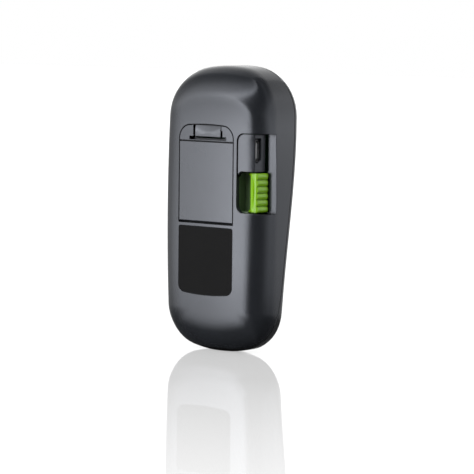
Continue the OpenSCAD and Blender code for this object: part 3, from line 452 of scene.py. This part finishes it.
def floor_material():
    """White with a fading mirror image to the camera, and a sheen to all other rays."""
    material = bpy.data.materials.new("floor_white")
    tree = empty_tree(material)
    out = add(tree, "ShaderNodeOutputMaterial")
    mirror = add(tree, "ShaderNodeBsdfGlossy")
    mirror.inputs["Roughness"].default_value = MIRROR_ROUGH

    place = add(tree, "ShaderNodeNewGeometry").outputs["Position"]
    reach = vector_calc(tree, "LENGTH", place, result="Value")
    image = value_map(tree, reach, IMAGE_NEAR, IMAGE_FAR, *IMAGE_SPAN)
    white = add(tree, "ShaderNodeAddShader")
    feed(tree, mix(tree, LIT_SHARE, glow(tree, 0.0), matt(tree, FLOOR_COLOUR)), white.inputs[0])
    feed(tree, glow(tree, FLOOR_GLOW), white.inputs[1])
    seen = mix(tree, image, white.outputs[0], mirror.outputs[0])

    grazing = add(tree, "ShaderNodeLayerWeight").outputs["Facing"]
    sheen = value_map(tree, grazing, SHEEN_STEEP, SHEEN_GRAZING, *GRAZING_SPAN)
    reflected = mix(tree, sheen, matt(tree, UNDER_COLOUR), mirror.outputs[0])

    path = add(tree, "ShaderNodeLightPath")
    surface = mix(tree, path.outputs["Is Camera Ray"], reflected, seen)
    feed(tree, surface, out.inputs["Surface"])
    return material


def floor():
    mesh = bpy.data.meshes.new("floor")
    corners = [
        (x * FLOOR_HALF, y * FLOOR_HALF, -FLOOR_DROP)
        for x, y in ((-1, -1), (1, -1), (1, 1), (-1, 1))
    ]
    mesh.from_pydata(corners, [], [(0, 1, 2, 3)])
    mesh.materials.append(floor_material())
    plane = bpy.data.objects.new("floor", mesh)
    bpy.context.scene.collection.objects.link(plane)


floor()

# ---- camera: a long lens, slightly from above, aimed below the meter's middle

# The camera's turn from straight behind the meter towards its socket side, its angle above
# the meter's middle, and its roll, which leans the meter's top to the right in the picture.
VIEW_TURN = math.radians(38.4)
VIEW_RISE = math.radians(4.58)
VIEW_ROLL = math.radians(0.62)
VIEW_DISTANCE = 0.850
# A pixel's size at the meter, and how many of them the picture's middle lies off the meter's.
PIXEL = 0.344 * MM
AIM_RIGHT = 6.7
AIM_DOWN = 29.1
FRAME_PIXELS = 474
SENSOR = 36.0
NEAREST = 0.01
FARTHEST = 20.0


def camera_turn(eye, target, up):
    """The turn of a camera that looks from the eye to the target with that way up."""
    away = (eye - target).normalized()
    side = up.cross(away).normalized()
    return Matrix((side, away.cross(side), away)).transposed().to_4x4()


def place_camera():
    toward_eye = Vector((
        -math.sin(VIEW_TURN) * math.cos(VIEW_RISE),
        math.cos(VIEW_TURN) * math.cos(VIEW_RISE),
        math.sin(VIEW_RISE),
    ))
    level = Vector((-math.cos(VIEW_TURN), -math.sin(VIEW_TURN), 0))
    upright = toward_eye.cross(level)
    right = level * math.cos(VIEW_ROLL) + upright * math.sin(VIEW_ROLL)
    up = upright * math.cos(VIEW_ROLL) - level * math.sin(VIEW_ROLL)
    middle = Vector((0, 0, cad_box[1][2] / 2))
    eye = middle + toward_eye * VIEW_DISTANCE
    target = middle + right * (AIM_RIGHT * PIXEL) - up * (AIM_DOWN * PIXEL)

    lens = bpy.data.cameras.new("camera")
    lens.sensor_width = SENSOR
    lens.lens = SENSOR * (VIEW_DISTANCE / PIXEL) / FRAME_PIXELS
    lens.clip_start = NEAREST
    lens.clip_end = FARTHEST
    camera = bpy.data.objects.new("camera", lens)
    camera.matrix_world = Matrix.Translation(eye) @ camera_turn(eye, target, up)
    bpy.context.scene.collection.objects.link(camera)
    bpy.context.scene.camera = camera


place_camera()

# ---- studio light

# Radiance round the horizon, at degrees from the back's facing towards the socket side.
ROOM = (
    (-180, 1.25), (-124, 1.25), (-110, 0.55), (-96, 0.42), (-68, 1.05), (-48, 2.60), (-33, 4.00),
    (-26, 5.60), (-23.5, 9.60), (-21.3, 10.0), (-18, 2.60), (-15, 0.35), (-8, 0.04), (5, 0.04),
    (22, 0.10), (37, 0.25), (57, 0.80), (82, 1.35), (120, 1.35), (180, 1.25),
)
# A radiance that none of these reaches, since a ramp holds shares of it.
ROOM_TOP = 14.0
# Share of that radiance at degrees above the horizon.
RISE = ((-90, 1.0), (5, 1.0), (9, 0.94), (15, 0.92), (25, 0.92), (40, 0.80), (90, 0.50))
# The pattern leans by these degrees for each degree of height: one way up to LOW_RISE, and
# the other way above it.
LOW_RISE = 5
LOW_LEAN = 2.6
HIGH_LEAN = 1.1
# Share of the light lost high up on the socket side, and the degrees over which it comes in.
HIGH_LOSS = 0.8
LOSS_HEADINGS = (50, 85)
LOSS_HEIGHTS = (26, 50)


def angle_map(tree, source, low, high, degrees):
    """The source angle, spread between low and high over these degrees."""
    return value_map(tree, source, low, high, *(math.radians(angle) for angle in degrees))


def ramp(tree, source, stops, top):
    """Straight lines through the stops over the source angle, as shares of the top value."""
    node = add(tree, "ShaderNodeValToRGB")
    low, high = stops[0][0], stops[-1][0]
    marks = node.color_ramp.elements
    for index, (degrees, value) in enumerate(stops):
        place = (degrees - low) / (high - low)
        mark = marks[index] if index < 2 else marks.new(place)
        mark.position = place
        share = value / top
        mark.color = (share, share, share, 1)
    feed(tree, angle_map(tree, source, 0.0, 1.0, (low, high)), node.inputs["Fac"])
    return node.outputs["Color"]


def room_light(tree):
    """The studio's radiance in the direction of a ray."""
    ray = add(tree, "ShaderNodeSeparateXYZ")
    feed(tree, add(tree, "ShaderNodeTexCoord").outputs["Generated"], ray.inputs[0])
    heading = calc(tree, "ARCTAN2", product(tree, ray.outputs["X"], -1.0), ray.outputs["Y"])
    height = calc(tree, "ARCSINE", ray.outputs["Z"])

    low_rise = math.radians(LOW_RISE)
    low_part = calc(tree, "MINIMUM", calc(tree, "MAXIMUM", height, 0.0), low_rise)
    high_part = calc(tree, "MAXIMUM", calc(tree, "SUBTRACT", height, low_rise), 0.0)
    heading = calc(tree, "ADD", heading, product(tree, low_part, LOW_LEAN))
    heading = calc(tree, "SUBTRACT", heading, product(tree, high_part, HIGH_LEAN))

    round_room = ramp(tree, heading, ROOM, ROOM_TOP)
    upward = ramp(tree, height, RISE, 1.0)
    beside = angle_map(tree, heading, 0.0, 1.0, LOSS_HEADINGS)
    loss = angle_map(tree, height, 0.0, HIGH_LOSS, LOSS_HEIGHTS)
    kept = calc(tree, "SUBTRACT", 1.0, product(tree, beside, loss))
    return product(tree, round_room, upward, ROOM_TOP, kept)


def background(tree, strength):
    node = add(tree, "ShaderNodeBackground")
    node.inputs["Color"].default_value = WHITE
    feed(tree, strength, node.inputs["Strength"])
    return node.outputs[0]


def studio():
    """The room lights the meter; the camera sees plain white, also through clear windows."""
    world = bpy.data.worlds.new("studio")
    bpy.context.scene.world = world
    tree = empty_tree(world)
    out = add(tree, "ShaderNodeOutputWorld")
    path = add(tree, "ShaderNodeLightPath")
    seen = calc(
        tree, "MAXIMUM", path.outputs["Is Camera Ray"], path.outputs["Is Transmission Ray"]
    )
    room = background(tree, room_light(tree))
    feed(tree, mix(tree, seen, room, background(tree, 1.0)), out.inputs["Surface"])


studio()

bpy.context.scene.view_settings.view_transform = "Standard"
